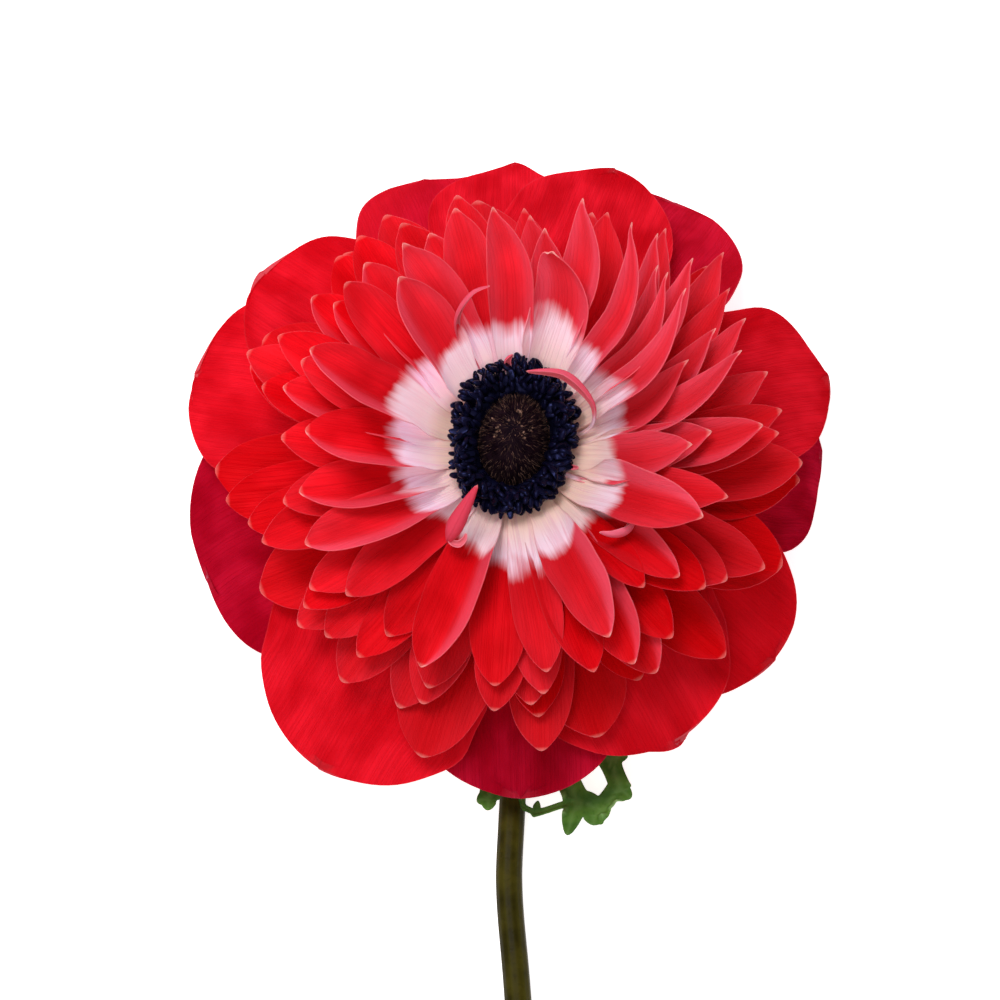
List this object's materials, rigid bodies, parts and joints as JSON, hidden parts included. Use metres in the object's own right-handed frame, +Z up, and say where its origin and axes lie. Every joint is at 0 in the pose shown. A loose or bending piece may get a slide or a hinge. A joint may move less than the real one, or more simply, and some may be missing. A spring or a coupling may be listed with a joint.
{
  "type": "anemone flower",
  "caption": "Semi-double anemone flower lying face up: broad outer tepals, layered narrow petals with a pale eye, dark stamens and dome, ferny leaf collar, long bent stem.",
  "frame": {"origin": "middle of the flower's outline in plan, on the surface that it lies on", "axes": "+Z up, the way the bloom faces; +Y from the stem's cut end towards the bloom; +X to the bloom's right as seen from above"},
  "size_m": [0.1, 0.2426, 0.0437],
  "materials": {
    "scarlet_tepal": "satin petal, slightly crinkled",
    "scarlet_petal": "satin petal, white towards the eye",
    "anther_blue_black": "slightly glossy",
    "pistil_purple_black": "matt, finely hairy",
    "stem_olive": "satin green stem",
    "bract_green": "satin leaf"
  },
  "bodies": {
    "root": {"outer_tepals": "scarlet_tepal", "inner_petals": "scarlet_petal", "stamens": "anther_blue_black", "pistil": "pistil_purple_black", "stem": "stem_olive", "bract_left": "bract_green", "bract_right": "bract_green", "bract_upper": "bract_green"}
  },
  "joints": []
}
